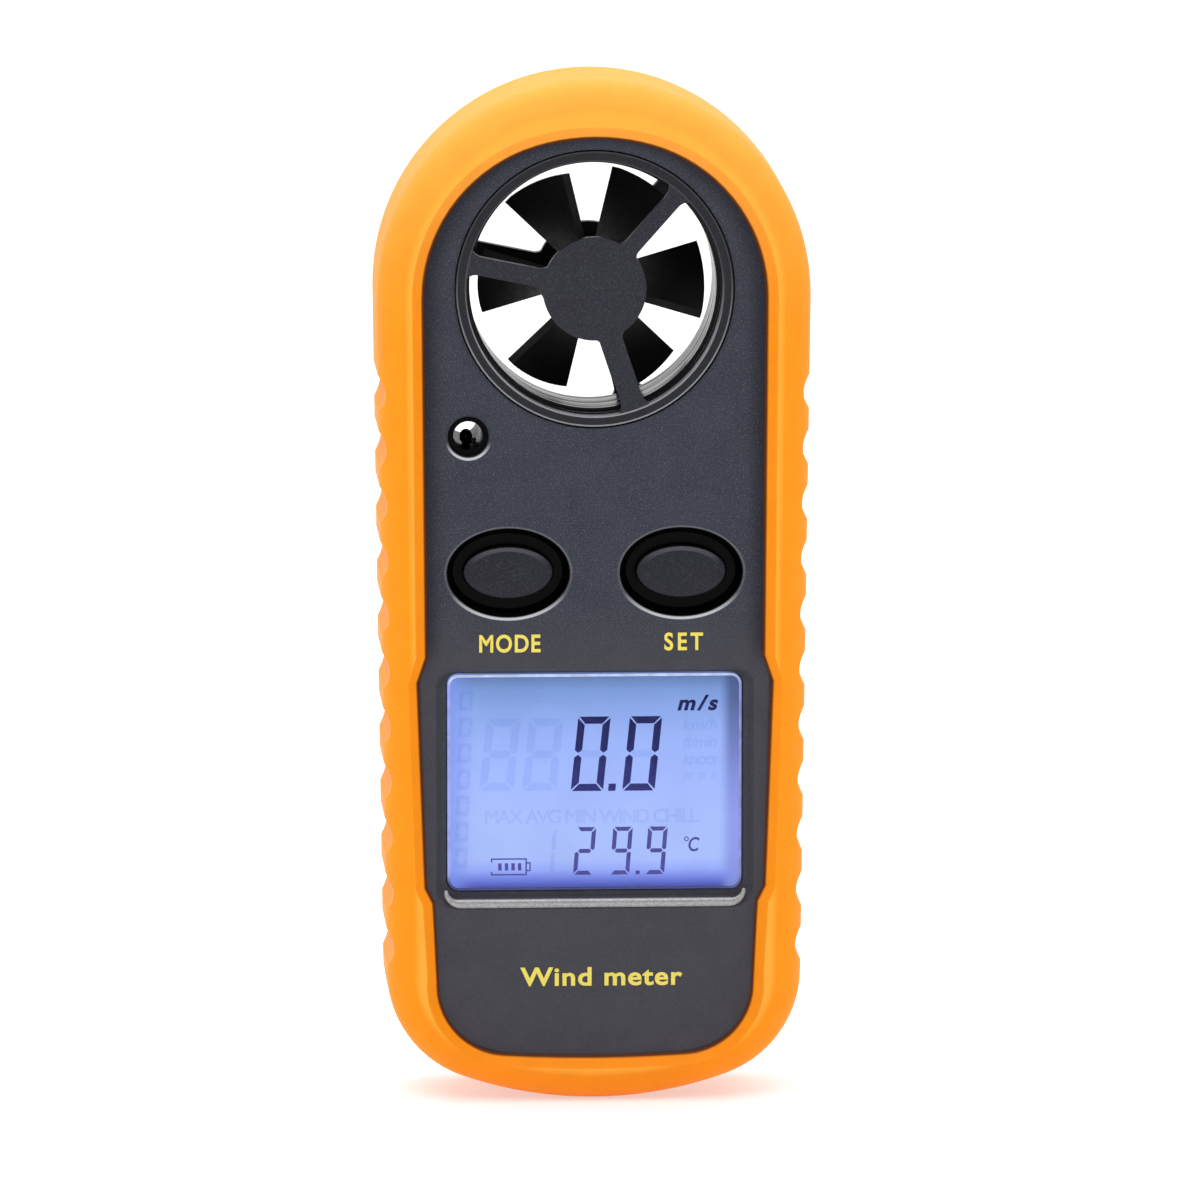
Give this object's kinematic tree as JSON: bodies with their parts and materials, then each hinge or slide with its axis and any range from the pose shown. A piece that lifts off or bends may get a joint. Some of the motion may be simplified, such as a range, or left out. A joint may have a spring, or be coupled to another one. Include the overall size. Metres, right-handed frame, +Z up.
{
  "type": "handheld weather meter",
  "caption": "Pocket wind meter in a rubber boot: guarded vane impeller in a through duct, air temperature sensor, two keys and a lit display.",
  "frame": {"origin": "middle of the whole object's box, inside the grip", "axes": "+Z up along the length towards the fan, -Y out of the face with the display, +X to the right of someone reading it"},
  "size_m": [0.0474, 0.0204, 0.1124],
  "materials": {
    "boot_rubber": "satin soft-touch, orange",
    "case_plastic": "fine metallic flake, dark grey",
    "guard_plastic": "satin dark grey",
    "duct_plastic": "gloss black",
    "impeller_plastic": "satin black",
    "steel": "turned",
    "ferrite": "matt",
    "brass": "turned",
    "chip_epoxy": "moulded epoxy",
    "lead_sheath": "satin",
    "bead_epoxy": "dipped epoxy bead",
    "tinned_wire": "tinned",
    "key_plastic": "satin dark grey",
    "switch_plastic": "moulded",
    "window_plastic": "clear hard-coated acrylic",
    "gasket_foam": "foam",
    "lcd": "backlit blue",
    "light_guide": "frosted",
    "led": "cast",
    "holder_plastic": "moulded",
    "strip_rubber": "striped silicone",
    "board": "solder mask",
    "ceramic_chip": "ceramic",
    "cell_steel": "polished",
    "spring_steel": "rolled",
    "cover_plastic": "satin dark grey",
    "seal_rubber": "matt"
  },
  "bodies": {
    "meter": {"protective_boot": "boot_rubber", "front_case": "case_plastic", "rear_case": "case_plastic", "front_guard": "guard_plastic", "rear_guard": "guard_plastic", "wind_duct": "duct_plastic", "front_bearing": "brass", "rear_bearing": "brass", "hall_sensor": "chip_epoxy", "hall_sensor_lead": "lead_sheath", "temperature_bead": "bead_epoxy", "temperature_leads": "tinned_wire", "mode_switch": "switch_plastic", "set_switch": "switch_plastic", "display_window": "window_plastic", "window_gasket": "gasket_foam", "lcd_glass": "lcd", "backlight_guide": "light_guide", "backlight_leds": "led", "lcd_holder": "holder_plastic", "contact_strips": "strip_rubber", "main_board": "board", "driver_chip": "chip_epoxy", "timing_crystal": "tinned_wire", "passives": "ceramic_chip", "case_screws": "steel", "board_screws": "steel", "coin_cell": "cell_steel", "battery_contact_plus": "spring_steel", "battery_contact_minus": "spring_steel"},
    "rotor": {"impeller": "impeller_plastic", "impeller_shaft": "steel", "rotor_magnet": "ferrite"},
    "mode_button": {"mode_key": "key_plastic"},
    "set_button": {"set_key": "key_plastic"},
    "cover": {"battery_cover": "cover_plastic", "battery_seal": "seal_rubber"}
  },
  "joints": [
    {"name": "impeller_spin", "type": "hinge", "parent": "meter", "child": "rotor", "pos_m": [0, 0, 0.0334], "axis": [0, 1, 0], "continuous": true},
    {"name": "mode_press", "type": "slide", "parent": "meter", "child": "mode_button", "axis": [0, 1, 0], "range_m": [0, 0.0006], "stiffness_N_per_m": 2500, "springref_m": -0.0002},
    {"name": "set_press", "type": "slide", "parent": "meter", "child": "set_button", "axis": [0, 1, 0], "range_m": [0, 0.0006], "stiffness_N_per_m": 2500, "springref_m": -0.0002},
    {"name": "cover_turn", "type": "hinge", "parent": "meter", "child": "cover", "pos_m": [0, 0.0079, -0.02], "axis": [0, 1, 0], "range_deg": [0, 45]}
  ]
}
